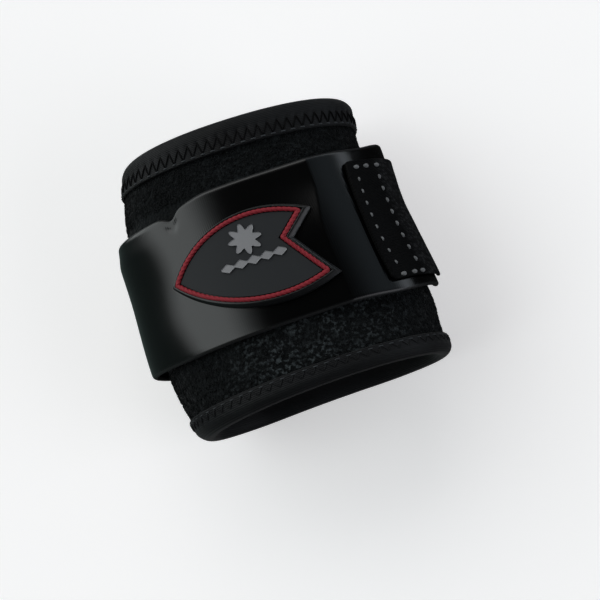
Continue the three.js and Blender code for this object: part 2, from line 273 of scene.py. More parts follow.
def make_lint():
    """Where pale lint has gathered, in millimetre specks: mostly low in the middle of the front."""
    tree = bpy.data.node_groups.new("lint", "ShaderNodeTree")
    tree.interface.new_socket("Lint", in_out="OUTPUT", socket_type="NodeSocketFloat")
    made = tree.nodes.new("NodeGroupOutput").inputs
    where = node(tree, "TexCoord").outputs["Object"]
    specks = node(tree, "TexNoise", {"Vector": where, "Scale": 1000.0, "Detail": 1.0}).outputs["Fac"]
    drifts = node(tree, "TexNoise", {"Vector": where, "Scale": 190.0, "Detail": 2.0}).outputs["Fac"]
    x, y = node(tree, "SeparateXYZ", {0: where}).outputs[:2]
    beside = maths(tree, "ABSOLUTE", maths(tree, "SUBTRACT", x, LINT_MIDDLE), 0)
    middle = ramp(tree, beside, (0.012, 1), (0.028, 0.10))
    low = ramp(tree, maths(tree, "MULTIPLY_ADD", y, 1.0), (0.985, 1), (1.0, 0.25))
    share = maths(tree, "MULTIPLY", middle, low)
    heaped = maths(tree, "MULTIPLY", ramp(tree, specks, (0.50, 0), (0.64, 1)),
                   ramp(tree, drifts, (0.36, 0.25), (0.6, 1)))
    tree.links.new(maths(tree, "MULTIPLY", heaped, share), made["Lint"])
    return tree


lint_specks = make_lint()


def linty(tree, color, lint):
    """A cloth color with the pale lint over it."""
    specks = tree.nodes.new("ShaderNodeGroup")
    specks.node_tree = lint_specks
    return mix(tree, specks.outputs["Lint"], color, (*lint, 1))


def worn(tree, shader, color, lint, share, patch=140.0):
    """Puts the worn cloth tone on a shader."""
    tone = tree.nodes.new("ShaderNodeGroup")
    tone.node_tree = worn_cloth
    for label, value in (("Color", (*color, 1)), ("Lint", (*lint, 1)),
                         ("Lint share", share), ("Patch scale", patch)):
        tone.inputs[label].default_value = value
    tree.links.new(tone.outputs["Color"], shader.inputs["Base Color"])


HALF_WALL = SLEEVE_WALL / 2
FOAM_SHORT = 1.0  # the foam ends this far inside the tapes' fold
SLEEVE_END = SLEEVE_LENGTH / 2 - FOAM_SHORT - HALF_WALL
sleeve_profile = (
    [(along, 0.0) for along in np.linspace(-SLEEVE_END, SLEEVE_END, 97)]
    + turn(SLEEVE_END, -HALF_WALL, HALF_WALL, 90, -90, 8)[1:]
    + [(along, -SLEEVE_WALL) for along in np.linspace(SLEEVE_END, -SLEEVE_END, 49)][1:]
    + turn(-SLEEVE_END, -HALF_WALL, HALF_WALL, -90, -270, 8)[1:-1])


SWELL, PUCKER, SLEEVE_SINK = 0.08, 0.04, 0.06
LINING_SWELL, SEAM_RIDGE, SEAM_RIDGE_WIDTH = 0.1, 0.35, 0.35


def sleeve_place(hoop, along, out):
    """Softly uneven outside, and inside too, where the seam stands as a ridge down the back."""
    outer = np.clip(out / SLEEVE_WALL + 1, 0, 1)
    soft = SWELL * uneven(hoop, along, 3, 17) + PUCKER * uneven(hoop, along, 4, 3) - SLEEVE_SINK
    lining = (LINING_SWELL * uneven(hoop, along, 5, 12)
              + SEAM_RIDGE * bell(np.abs(hoop) - GIRTH / 2, SEAM_RIDGE_WIDTH))
    return on_sleeve(hoop, along, out + outer * soft + (1 - outer) * lining)


sleeve = sweep(sleeve_profile, -GIRTH / 2, GIRTH / 2, 320)
for face in sleeve.faces:
    face.material_index = int(face.calc_center_median().z < -HALF_WALL)
sleeve = lay(sleeve, "sleeve_foam", sleeve_place)

PILE_COLOR, LINT_COLOR = (0.0057, 0.0069, 0.0074), (0.050, 0.059, 0.063)
pile, tree, shader = finish("brushed pile", PILE_COLOR, 0.95, Specular_IOR_Level=0.1,
                            Sheen_Weight=0.05, Sheen_Roughness=0.4)
worn(tree, shader, PILE_COLOR, (0.018, 0.020, 0.021), 0.25)
cloth = shader.inputs["Base Color"].links[0].from_socket
tree.links.new(linty(tree, cloth, LINT_COLOR), shader.inputs["Base Color"])
where = node(tree, "TexCoord").outputs["Object"]
loops = node(tree, "TexVoronoi", {"Vector": where, "Scale": 1500.0})
matted = node(tree, "TexNoise", {"Vector": where, "Scale": 700.0, "Detail": 3.0})
bump(tree, shader, maths(tree, "ADD", loops.outputs["Distance"], matted.outputs["Fac"]), 0.0003)

KNIT_COLOR = (0.016, 0.017, 0.019)
knit, tree, shader = finish("inner knit", KNIT_COLOR, 0.85, Specular_IOR_Level=0.2)
worn(tree, shader, KNIT_COLOR, (0.04, 0.04, 0.045), 0.2)
flat = node(tree, "UVMap", uv_map="flat").outputs[0]
wales = node(tree, "TexWave", {"Vector": flat, "Scale": 40.0, "Distortion": 1.0}, bands_direction="X")
bump(tree, shader, wales.outputs["Fac"], 0.00012)
belongs(sleeve, pile, "pile_fabric", "sleeve")
sleeve.data.materials.append(knit)


# Bindings: smooth stretch tape folded over both rims of the sleeve and sewn down through all its
# layers with a zigzag, whose knots bed at the tape's free edge. The hand's tape is the wider one.
RIM_CENTRE, RIM_RADIUS = 33.6, 2.8
TAPE_FACE = RIM_RADIUS - HALF_WALL
TAPE_THICKNESS = 0.8
TAPE_EDGE = {"hand": 28.6, "arm": 31.4}
ZIGZAG_HEIGHT = {"hand": 3.7, "arm": 2.0}
ZIGZAG_COUNT = 67
ZIGZAG_PITCH = GIRTH / ZIGZAG_COUNT
ZIGZAG_MARGIN = 0.35
TAPE_SEED, TAPE_SWELL = {"hand": 15, "arm": 14}, 0.12
KNOT_PULL, POINT_PULL, ROW_PULL = 0.2, 0.3, 0.14  # how deep the zigzag pulls the tape in
RELIEF = {"hand": 1, "arm": 0.4}  # the forearm's tape is stretched flatter


def tape_profile(edge):
    """The tape's section as (along, out): from its free edge over the rim and back inside."""
    inside, soft = RIM_RADIUS - TAPE_THICKNESS, TAPE_THICKNESS / 2
    face = np.linspace(edge, RIM_CENTRE, int((RIM_CENTRE - edge) / 0.3))
    return (
        [(along, TAPE_FACE) for along in face]
        + turn(RIM_CENTRE, -HALF_WALL, RIM_RADIUS, 90, -90, 26)[1:]
        + [(along, -HALF_WALL - RIM_RADIUS) for along in face[::-1]][1:]
        + turn(edge, -HALF_WALL - RIM_RADIUS + soft, soft, -90, -270, 7)[1:]
        + [(along, -HALF_WALL - inside) for along in face[::3]][1:]
        + turn(RIM_CENTRE, -HALF_WALL, inside, -90, 90, 12)[1:]
        + [(along, inside - HALF_WALL) for along in face[::-3]][1:]
        + turn(edge, TAPE_FACE - soft, soft, 270, 90, 7)[1:-1])


def tape_relief(side, hoop, along):
    """How far the tape's outer face stands from its plain place: pulled in by each stitch."""
    edge, height = TAPE_EDGE[side], ZIGZAG_HEIGHT[side]
    low, high = ((hoop / ZIGZAG_PITCH + shift + 0.5) % 1 - 0.5 for shift in (0, 0.5))
    low = bell(np.hypot(low * ZIGZAG_PITCH, along - edge - ZIGZAG_MARGIN), 0.75)
    high = bell(np.hypot(high * ZIGZAG_PITCH, along - edge - height), 0.6)
    return RELIEF[side] * (
        TAPE_SWELL * uneven(hoop, along, TAPE_SEED[side], 9) - KNOT_PULL * low - POINT_PULL * high
        - ROW_PULL * bell(along - edge - height / 2, height / 2))


def tape_place(side):
    """How a side's tape is laid: its relief is on its outer face alone."""
    way = 1 if side == "hand" else -1

    def place(hoop, along, out):
        outer = step_up(out, -0.2, 0.9)
        return on_sleeve(hoop, way * along, out + outer * tape_relief(side, hoop, along))
    return place


TAPE_COLOR = (0.0038, 0.0044, 0.0052)
tape, tree, shader = finish("binding tape", TAPE_COLOR, 0.6, Specular_IOR_Level=0.2,
                            Sheen_Weight=0.06, Sheen_Roughness=0.4)
worn(tree, shader, TAPE_COLOR, (0.012, 0.013, 0.015), 0.15, 90.0)
flat = node(tree, "UVMap", uv_map="flat").outputs[0]
rows = node(tree, "TexWave", {"Vector": flat, "Scale": 70.0, "Distortion": 0.6}, bands_direction="Y")
bump(tree, shader, rows.outputs["Fac"], 0.00006)
sewing = finish("black thread", (0.0012, 0.0012, 0.0014), 0.7, Specular_IOR_Level=0.1)[0]
knots = finish("grey thread knots", (0.030, 0.034, 0.038), 0.6, Specular_IOR_Level=0.4)[0]


def threads(name, paths, radius, sides=3):
    """Many short threads as one piece, from each one's points in metres, all alike in number."""
    paths = np.asarray(paths)
    count, points = paths.shape[:2]
    run = np.gradient(paths, axis=1)
    first = np.cross(run, (0.21, 0.31, 0.93))
    first /= np.linalg.norm(first, axis=2, keepdims=True)
    second = np.cross(run, first)
    second /= np.linalg.norm(second, axis=2, keepdims=True)
    angle = 2 * math.pi * np.arange(sides) / sides
    ring = (np.cos(angle)[:, None] * first[:, :, None] + np.sin(angle)[:, None] * second[:, :, None])
    radius = np.broadcast_to(np.asarray(radius), (count, points))[:, :, None, None]
    verts = (paths[:, :, None] + radius * ring).reshape(-1, 3)
    start = (np.arange(count) * points * sides)[:, None, None]
    step = (np.arange(points - 1) * sides)[None, :, None]
    this, after = np.arange(sides), (np.arange(sides) + 1) % sides
    quads = np.stack([start + step + this, start + step + after,
                      start + step + sides + after, start + step + sides + this], 3).reshape(-1, 4)
    ends = np.concatenate([start[:, 0] + this[::-1], start[:, 0] + (points - 1) * sides + this])
    mesh = bpy.data.meshes.new(name)
    mesh.from_pydata(verts.tolist(), [], quads.tolist() + ends.tolist())
    mesh.polygons.foreach_set("use_smooth", [True] * len(mesh.polygons))
    made = bpy.data.objects.new(name, mesh)
    bpy.context.scene.collection.objects.link(made)
    return made


# each stroke runs from a knot at the tape's edge to a point, and its ends go down into the tape
STROKE_SHARE = np.array([0, 0.12, 0.35, 0.65, 0.88, 1])
STROKE_RISE = np.array([-0.2, 0.08, 0.14, 0.14, 0.08, -0.2])
STROKE_RADIUS = {"hand": np.linspace(0.14, 0.26, 6) / 1000, "arm": 0.00013}
STROKE_THREAD = {"hand": sewing, "arm": tape}
KNOT_RISE = np.array([-0.15, 0.1, 0.2, 0.1, -0.15])
KNOT_RADIUS = {"hand": 0.00022, "arm": 0.00016}
for side, way in (("hand", 1), ("arm", -1)):
    binding = sweep(tape_profile(TAPE_EDGE[side]), -GIRTH / 2, GIRTH / 2, 470)
    binding = lay(binding, side + "_tape", tape_place(side))
    belongs(binding, tape, "binding_fabric", side + "_binding")
    low, high = TAPE_EDGE[side] + ZIGZAG_MARGIN, TAPE_EDGE[side] + ZIGZAG_HEIGHT[side]
    strokes, beads = [], []
    for index in range(ZIGZAG_COUNT):
        for lean in (-1, 1):
            hoop = ZIGZAG_PITCH * (index + lean * 0.5 * STROKE_SHARE)
            along = low + (high - low) * STROKE_SHARE
            rise = TAPE_FACE + tape_relief(side, hoop, along) + STROKE_RISE
            strokes.append(on_sleeve(hoop, way * along, rise))
        hoop = ZIGZAG_PITCH * (index + np.linspace(-0.22, 0.22, 5))
        along = np.full(5, low - 0.05)
        rise = TAPE_FACE + tape_relief(side, hoop, along) + KNOT_RISE
        beads.append(on_sleeve(hoop, way * along, rise))
    zigzag = threads(side + "_zigzag", strokes, STROKE_RADIUS[side], 5)
    belongs(zigzag, STROKE_THREAD[side], "binding_fabric")
    beads = threads(side + "_zigzag_knots", beads, KNOT_RADIUS[side], 5)
    belongs(beads, knots, "binding_fabric")


# Seam: the sleeve is one panel, closed flat at the back with a close zigzag of black thread, and the
# tapes' ends meet over it under a short tack. Under the strap the seam is hidden and left out.
SEAM_START, SEAM_PITCH, SEAM_WIDTH, SEAM_HOOP = 17.0, 1.6, 3.4, GIRTH / 2
TACK_PITCH = 0.5
strokes = []
share = np.linspace(-0.5, 0.5, 6)
for side, way in (("hand", 1), ("arm", -1)):
    seam = np.arange(SEAM_START, TAPE_EDGE[side] - 0.6, SEAM_PITCH)
    tack = np.arange(TAPE_EDGE[side] + 0.4, RIM_CENTRE - 0.1, TACK_PITCH)
    for along in np.concatenate([seam, tack]):
        over = along > TAPE_EDGE[side]
        face = TAPE_FACE + 0.02 if over else 0.02
        place = way * (along + (0 if over else SEAM_PITCH / 2) * share)
        hoop = SEAM_HOOP + SEAM_WIDTH * share * (-1) ** len(strokes)
        strokes.append(on_sleeve(hoop, place, face + 0.12 - 1.6 * share**2))
belongs(threads("back_seam", strokes, 0.00016, 5), sewing, "binding_fabric")


# Strap: glossy elastic webbing, sewn to the back of the sleeve at one end. It is laid round over the
# front and pressed down by its hook end, climbing a little toward the hand as it goes.
STRAP_WIDTH, STRAP_THICKNESS, STRAP_LENGTH = 38.0, 1.8, 153.0
STRAP_END = 45.5
STRAP_START = STRAP_END - STRAP_LENGTH
STRAP_MIDDLE, STRAP_CLIMB = 0.8, 0.033
STRAP_CORNER = 0.5
BRIDGE_START, BRIDGE_END, BRIDGE_SLANT = 5.5, 17.0, 3.0
SIDE_BULGE, SIDE_BULGE_SPREAD = 2.3, 11.0
HOOK_START, HOOK_LENGTH, HOOK_MARGIN, HOOK_THICKNESS = 22.0, 22.0, 1.5, 1.3
PIECE_GAP = 0.25
# worn in: stretched round the left side it is narrower and its hand edge hugs the sleeve, with a
# small dent beside the badge, and its cut end spreads and stands off at the hand's corner
EDGE_TUCK, TUCK_HOOP, TUCK_SPREAD = 1.0, -50.0, 12.0
EDGE_DRAW = 2.2
DENT_DEPTH, DENT_DRAW, DENT_HOOP, DENT_ACROSS, DENT_SPREAD = 0.7, 1.6, -20.5, 17.0, 2.0
END_SPREAD, END_STAND, END_PRESS = 1.3, 2.3, 0.4
# its forearm edge has eased out over the front, and a little more beside the tab
EDGE_EASE, END_EASE, END_EASE_HOOP, END_EASE_SPREAD = 1.2, 0.6, 27.0, 8.0
STRAP_SWELL, STRAP_SINK = 0.07, 0.06


def strap_along(hoop):
    """Where the strap's middle runs along the wrist."""
    return STRAP_MIDDLE + STRAP_CLIMB * hoop


def strap_lift(hoop, across):
    """How far the strap's underside stands off the sleeve: it bridges straight up to the hooks."""
    begun = hoop - BRIDGE_START + BRIDGE_SLANT * step_up(-across, -14, 2)
    bridged = np.clip(begun / (BRIDGE_END - BRIDGE_START), 0, 1) ** 2
    bulged = bell(hoop + GIRTH / 4, SIDE_BULGE_SPREAD)
    return PIECE_GAP + bridged * (HOOK_THICKNESS + PIECE_GAP) + bulged * SIDE_BULGE


def on_strap(hoop, across, out):
    """Places round, across and out of the strap's face."""
    standing = step_up(hoop, 30, STRAP_END) * (END_STAND * step_up(across, 1, 19) - END_PRESS)
    lift = strap_lift(hoop, across) + standing + STRAP_THICKNESS
    return on_sleeve(hoop, strap_along(hoop) + across, lift + out)


def rounded(hoop, across, start, end, corner, width):
    """The way across a strip from start to end, narrowed at both so that its corners are round."""
    near = np.maximum(corner - np.minimum(hoop - start, end - hoop), 0)
    narrowed = corner - np.sqrt(np.maximum(corner**2 - near**2, 0))
    return across * (1 - narrowed / (width / 2))


def strap_place(hoop, across, out):
    """The strap as it lies: waved, tucked, dented, drawn in, spread and eased."""
    across = rounded(hoop, across, STRAP_START, STRAP_END, STRAP_CORNER, STRAP_WIDTH)
    wave = STRAP_SWELL * uneven(hoop, across, 21, 30) * step_up(STRAP_END - hoop, 2, 25)
    tuck = EDGE_TUCK * bell(hoop - TUCK_HOOP, TUCK_SPREAD) * step_up(across, 12, 19)
    dent = DENT_DEPTH * bell(np.hypot(hoop - DENT_HOOP, across - DENT_ACROSS), DENT_SPREAD)
    drawn = (EDGE_DRAW * step_up(-hoop, 9, 23) * step_up(hoop, -75, -55)
             + DENT_DRAW * bell(hoop - DENT_HOOP, DENT_SPREAD))
    spread = END_SPREAD * step_up(hoop, 32, STRAP_END)
    eased = ((EDGE_EASE + END_EASE * bell(hoop - END_EASE_HOOP, END_EASE_SPREAD))
             * step_up(hoop, -55, -25) * step_up(-across, 8, 18))
    across = across + (spread - drawn) * step_up(across, 4, 18) - eased
    return on_strap(hoop, across, out + wave - tuck - dent - STRAP_SINK)


def strip_profile(width, top, thickness, face, edge, back):
    """A strip's section with round edges as (across, out), with its steps over face, edge and back."""
    half, soft = width / 2, thickness / 2
    return (
        [(across, top) for across in np.linspace(-half + soft, half - soft, face)]
        + turn(half - soft, top - soft, soft, 90, -90, edge)[1:]
        + [(across, top - thickness) for across in np.linspace(half - soft, -half + soft, back)][1:]
        + turn(-half + soft, top - soft, soft, -90, -270, edge)[1:-1])


strap_profile = strip_profile(STRAP_WIDTH, 0.0, STRAP_THICKNESS, 57, 9, 15)
strap = sweep(strap_profile, STRAP_START, STRAP_END, 380)
bmesh.ops.holes_fill(strap, edges=strap.edges, sides=0)
strap = lay(strap, "strap_webbing", strap_place)
# The strap's rounded edges get a rougher finish and a paler colour. The paler colour is a painted
# highlight, standing in for the light that these edges catch.
STRAP_COLOR, SELVEDGE_HIGHLIGHT_COLOR = (0.0009, 0.0010, 0.0011), (0.012, 0.0125, 0.013)
SELVEDGE_START, SELVEDGE_FULL = 0.182, 0.187  # from the strap's middle on its UV map
elastic, tree, shader = finish("glossy elastic", STRAP_COLOR, 0.16, Specular_IOR_Level=0.5)
flat = node(tree, "UVMap", uv_map="flat").outputs[0]
ribs = node(tree, "TexWave", {"Vector": flat, "Scale": 58.0, "Distortion": 0.3}, bands_direction="X")
bump(tree, shader, ribs.outputs["Fac"], 0.00001)
edge = maths(tree, "ABSOLUTE", node(tree, "SeparateXYZ", {0: flat}).outputs[1], 0)
# painted highlight: the band along both rounded edges where the paler colour is mixed in
painted_edge_highlight = ramp(tree, edge, (SELVEDGE_START, 0), (SELVEDGE_FULL, 1))
color = mix(tree, painted_edge_highlight, (*STRAP_COLOR, 1), (*SELVEDGE_HIGHLIGHT_COLOR, 1))
tree.links.new(color, shader.inputs["Base Color"])
roughness = ramp(tree, edge, (SELVEDGE_START, 0.16), (SELVEDGE_FULL, 0.5))
tree.links.new(roughness, shader.inputs["Roughness"])
belongs(strap, elastic, "glossy_elastic", "strap")


# Strap's sewn end: its other end is sewn to the back of the sleeve with a box of black stitches, two
# rows across it and one along each edge, which pull down into the elastic.
SEWN_ROWS, SEWN_EDGE = (3.0, 10.0), STRAP_WIDTH / 2 - 2.5
SEWN_STITCH, SEWN_PITCH, SEWN_DEPTH = 2.3, 3.1, -0.3
share = np.linspace(-0.5, 0.5, 6)
sunk = SEWN_DEPTH - 1.2 * share**2
rows = []
for middle in np.arange(-SEWN_EDGE, SEWN_EDGE + 0.1, SEWN_PITCH):
    for row in SEWN_ROWS:
        rows.append(on_strap(np.full(6, STRAP_START + row), middle + SEWN_STITCH * share, sunk))
for middle in np.arange(SEWN_ROWS[0] + SEWN_PITCH / 2, SEWN_ROWS[1], SEWN_PITCH):
    for across in (-SEWN_EDGE, SEWN_EDGE):
        hoop = STRAP_START + middle + SEWN_STITCH * share
        rows.append(on_strap(hoop, np.full(6, across), sunk))
belongs(threads("strap_end_stitches", rows, 0.00022, 5), sewing, "glossy_elastic")


# Hook patch: a plate of stiff hook tape sewn under the strap's free end. Its hooks catch in the
# sleeve's pile and hold the strap down.
HOOK_WIDTH = STRAP_WIDTH - 2 * HOOK_MARGIN
hook_side = [(0.0, 0), (0.0, HOOK_THICKNESS * 0.6), (0.4, HOOK_THICKNESS)]  # inward and out
hook_profile = (
    [(inward - HOOK_WIDTH / 2, out) for inward, out in hook_side] + [(0, HOOK_THICKNESS)]
    + [(HOOK_WIDTH / 2 - inward, out) for inward, out in hook_side[::-1]] + [(0, 0)])


def hook_place(hoop, across, out):
    """The patch lies on the sleeve, under the strap."""
    return on_sleeve(hoop, strap_along(hoop) + across, PIECE_GAP + out)


hook = sweep(hook_profile, HOOK_START, HOOK_START + HOOK_LENGTH - HOOK_MARGIN, 40)
bmesh.ops.holes_fill(hook, edges=hook.edges, sides=0)
hook = lay(hook, "hook_tape", hook_place)
hooks, tree, shader = finish("hook tape", (0.010, 0.011, 0.012), 0.6, Specular_IOR_Level=0.3)
where = node(tree, "TexCoord").outputs["Object"]
barbs = node(tree, "TexVoronoi", {"Vector": where, "Scale": 1300.0})
bump(tree, shader, barbs.outputs["Distance"], 0.0004)
belongs(hook, hooks, "hook_tape", "hook_patch")


# Pull tab: a short end of black webbing, folded and sewn on the strap's free end with a box of
# thick pale stitches, to lift the hooks by. It overhangs the strap by a few millimetres.
TAB_THICKNESS, TAB_LENGTH, TAB_WIDTH = 1.1, 20.5, 33.0
TAB_OVERHANG, TAB_DROP, TAB_CORNER = 1.2, 1.2, 1.0
TAB_END = STRAP_END + TAB_OVERHANG
TAB_START = TAB_END - TAB_LENGTH
TAB_BOW, TAB_SLANT = 1.2, 1.4  # its inner edge bows out and slants
TAB_SWELL, TAB_SINK = 0.05, 0.03


def tab_place(hoop, across, out):
    """The tab as it lies on the strap, with its inner edge bowed and its face a little uneven."""
    across = rounded(hoop, across, TAB_START, TAB_END, TAB_CORNER, TAB_WIDTH)
    reach = 2 * across / TAB_WIDTH
    bowed_out = TAB_BOW * (1 - reach**2) + TAB_SLANT * (1 - reach) / 2
    hoop = hoop - bowed_out * (TAB_END - hoop) / TAB_LENGTH
    top = np.clip(out / TAB_THICKNESS, 0, 1)
    wave = TAB_SWELL * uneven(hoop, across, 31, 6) - TAB_SINK
    return on_strap(hoop, across - TAB_DROP, PIECE_GAP + out + top * wave)


tab_profile = strip_profile(TAB_WIDTH, TAB_THICKNESS, TAB_THICKNESS, 67, 7, 9)
tab = sweep(tab_profile, TAB_START, TAB_END, 60)
bmesh.ops.holes_fill(tab, edges=tab.edges, sides=0)
tab = lay(tab, "tab_webbing", tab_place)
WEBBING_COLOR, FRAY_COLOR = (0.0010, 0.0011, 0.0012), (0.020, 0.021, 0.022)
FRAY_START, FRAY_FULL = 12.5, 10.0  # how far before the cut end the webbing turns pale
webbing, tree, shader = finish("black webbing", WEBBING_COLOR, 0.6, Specular_IOR_Level=0.08)
flat = node(tree, "UVMap", uv_map="flat").outputs[0]
warp = node(tree, "TexWave", {"Vector": flat, "Scale": 45.0}, bands_direction="Y")
around = node(tree, "SeparateXYZ", {0: flat}).outputs[0]
cut_end = ramp(tree, around, ((TAB_END - FRAY_START) / 100, 0), ((TAB_END - FRAY_FULL) / 100, 1))
ends = node(tree, "TexVoronoi", {"Vector": flat, "Scale": 120.0}).outputs["Distance"]
frayed = maths(tree, "MULTIPLY", cut_end, ramp(tree, ends, (0.25, 1), (0.55, 0.15)))
color = mix(tree, frayed, (*WEBBING_COLOR, 1), (*FRAY_COLOR, 1))
tree.links.new(color, shader.inputs["Base Color"])
weft = node(tree, "TexWave", {"Vector": flat, "Scale": 60.0}, bands_direction="DIAGONAL")
bump(tree, shader, maths(tree, "ADD", warp.outputs["Fac"], weft.outputs["Fac"]), 0.00006)
belongs(tab, webbing, "black_webbing", "pull_tab")

# the box's corners as (hoop, across), from the hand's side on; then for each side of the box the
# shares of its length where stitches lie, how far it bows and how thick its stitches are
STITCH_BOX = np.array([(28.5, 13.3), (35.2, 13.3), (33.4, -16.7), (27.6, -16.7)])
STITCH_ROW, STITCH_COLUMN = np.array([0, 0.46, 1]), np.arange(1, 9) / 9
STITCH_BOWS, STITCH_RADII = (0, 1.85, 0, 1.85), (0.56, 0.42, 0.56, 0.29)
STITCH_LENGTH = 1.05
stitches, stitch_radius = [], []
share = np.linspace(-0.5, 0.5, 7)
sides = zip(STITCH_BOX, np.roll(STITCH_BOX, -1, 0), (STITCH_ROW, STITCH_COLUMN) * 2,
            STITCH_BOWS, STITCH_RADII)
for corner, following, shares, bow, radius in sides:
    for place in shares:
        at = place + share * STITCH_LENGTH / np.linalg.norm(following - corner)
        hoop, across = corner[:, None] + (following - corner)[:, None] * at
        hoop = hoop - bow * 4 * at * (1 - at)
        out = PIECE_GAP + TAB_THICKNESS + 0.1 - 2.0 * share**2
        stitches.append(on_strap(hoop, across, out))
        stitch_radius.append(radius * (1 - 1.2 * share**2) / 1000)
stitch_thread = finish("pale thread", (0.14, 0.145, 0.15), 0.6)[0]
belongs(threads("tab_stitches", stitches, stitch_radius, 8), stitch_thread, "black_webbing")


# Badge: a moulded rubber leaf with a notched tail, sewn flat on the strap. Its rim is rounded over,
# with a groove for the red cord and a matte field inside it, where the pale motifs stand.
BADGE_LENGTH, BADGE_HEIGHT = 38.2, 25.8
BADGE_HALF = np.array([BADGE_LENGTH / 2, BADGE_HEIGHT / 2])
BADGE_HOOP, BADGE_ALONG = -5.3, -1.9
BADGE_THICKNESS = 1.7
BADGE_TOP_RADIUS, BADGE_BOTTOM_RADIUS = 28.0, 32.0
# its tip, the tail's upper corner, the notch and the tail's lower corner, as shares of its half size
BADGE_CORNERS = np.array([(-1.035, 0.0), (0.99, 0.61), (0.64, 0.14), (1.01, -0.79)])
# inset from the outline and height over the strap's face, from the underside in to the field
BADGE_STEPS = ((0.0, 0.0), (0.0, 0.7), (0.06, 0.85), (0.3, 1.22), (0.55, 1.55), (0.7, 1.67),
               (0.85, 1.7), (1.02, 1.64), (1.05, 1.0), (2.38, 1.0), (2.41, 1.5), (2.5, 1.62))
CORD_INSET, CORD_SHIFT = 1.7, np.array([-0.45, 0.4])
GROOVE_DEPTH = 0.7
BEND_CUTS = np.arange(-19, 19.5, 1.2)  # flat faces are cut here, so that they bend with the strap


def on_badge(hoop, along, out):
    """Places round, along and out of the strap's face, from the badge's middle."""
    return on_strap(BADGE_HOOP + hoop, BADGE_ALONG + along, out)


def bowed(start, end, radius, steps):
    """Points from start to just before end on an arc that bulges to the left of the way."""
    chord = end - start
    length = np.hypot(*chord)
    left = np.array([-chord[1], chord[0]]) / length
    centre = (start + end) / 2 - left * math.sqrt(radius**2 - length**2 / 4)
    half = math.asin(length / 2 / radius)
    begin = math.atan2(*(start - centre)[::-1])
    return [centre + radius * np.array([math.cos(a), math.sin(a)])
            for a in begin - 2 * half * np.arange(steps) / steps]


def straight(start, end, steps):
    """Points from start to just before end on a straight line."""
    return [start + (end - start) * i / steps for i in range(steps)]


def inset(points, distance):
    """The loop moved in by a distance, on its right as it runs clockwise."""
    points = np.asarray(points)
    before, after = points - np.roll(points, 1, 0), np.roll(points, -1, 0) - points
    before, after = (np.stack([way[:, 1], -way[:, 0]], 1) / np.linalg.norm(way, axis=1)[:, None]
                     for way in (before, after))
    return points + (before + after) / (1 + (before * after).sum(1))[:, None] * distance


def badge_loop(distance):
    """The badge's outline moved in by a distance: its corners are moved, and its sides redrawn."""
    tip, upper, notch, lower = BADGE_CORNERS * BADGE_HALF
    rough = (bowed(tip, upper, BADGE_TOP_RADIUS, 12) + [upper, notch]
             + bowed(lower, tip, BADGE_BOTTOM_RADIUS, 12))
    tip, upper, notch, lower = inset(rough, distance)[[0, 12, 13, 14]]
    return np.array(
        bowed(tip, upper, BADGE_TOP_RADIUS - distance, 44) + straight(upper, notch, 8)
        + straight(notch, lower, 12) + bowed(lower, tip, BADGE_BOTTOM_RADIUS - distance, 44))


def skin(bm, rings):
    """Faces between rings of corners that lie one after the other."""
    for here, there in zip(rings, rings[1:]):
        for i in range(len(here)):
            bm.faces.new((here[i - 1], here[i], there[i], there[i - 1]))


badge = bmesh.new()
rings = []
for distance, height in BADGE_STEPS:
    shift = CORD_SHIFT * step_up(distance, 0.05, 0.8)
    loop = badge_loop(distance) + shift
    rings.append([badge.verts.new((*point, PIECE_GAP + height)) for point in loop])
skin(badge, rings)
ends = [badge.faces.new(rings[0]), badge.faces.new(rings[-1])]
bmesh.ops.triangulate(badge, faces=ends, ngon_method="EAR_CLIP")
for cut in BEND_CUTS:
    for plane in ((1, 0, 0), (0, 1, 0)):
        bmesh.ops.bisect_plane(badge, geom=badge.verts[:] + badge.edges[:] + badge.faces[:],
                               plane_co=[cut * axis for axis in plane], plane_no=plane)
field = PIECE_GAP + BADGE_STEPS[-1][1]
for face in badge.faces:
    face.material_index = int(all(abs(vert.co.z - field) < 1e-3 for vert in face.verts))
badge = lay(badge, "badge_rubber", on_badge)
rubber = finish("moulded rubber", (0.005, 0.0055, 0.006), 0.3)[0]
matte = finish("matte rubber field", (0.0185, 0.0205, 0.0225), 0.7, Specular_IOR_Level=0.3)[0]
belongs(badge, rubber, "badge_rubber", "badge_base")
badge.data.materials.append(matte)
badge.data.set_sharp_from_angle(angle=math.radians(35))


# Badge cord: a thick red cord of three twisted strands. It is bedded in the badge's groove all
# round, and turns the badge's corners with a small bend.
CORD_TWIST, CORD_RADIUS, CORD_SIDES, CORD_STEP = 1.2, 0.6, 18, 0.16
CORD_CORE, CORD_LOBE = 0.68, 0.32  # shares of its radius
cord_line = badge_loop(CORD_INSET) + CORD_SHIFT
closed = np.vstack([cord_line, cord_line[:1]])
length = np.concatenate([[0], np.cumsum(np.linalg.norm(np.diff(closed, axis=0), axis=1))])
cord_count = int(length[-1] / CORD_STEP)
cord_at = np.linspace(0, length[-1], cord_count, endpoint=False)
cord_line = np.stack([np.interp(cord_at, length, line) for line in closed.T], 1)
for _ in range(3):
    cord_line = (np.roll(cord_line, 1, 0) + 2 * cord_line + np.roll(cord_line, -1, 0)) / 4
cord_way = np.roll(cord_line, -1, 0) - np.roll(cord_line, 1, 0)
cord_way /= np.linalg.norm(cord_way, axis=1)[:, None]
cord_side = np.stack([cord_way[:, 1], -cord_way[:, 0]], 1)
cord = bmesh.new()
angle = 2 * math.pi * np.arange(CORD_SIDES) / CORD_SIDES
turns = round(length[-1] / CORD_TWIST)
rings = []
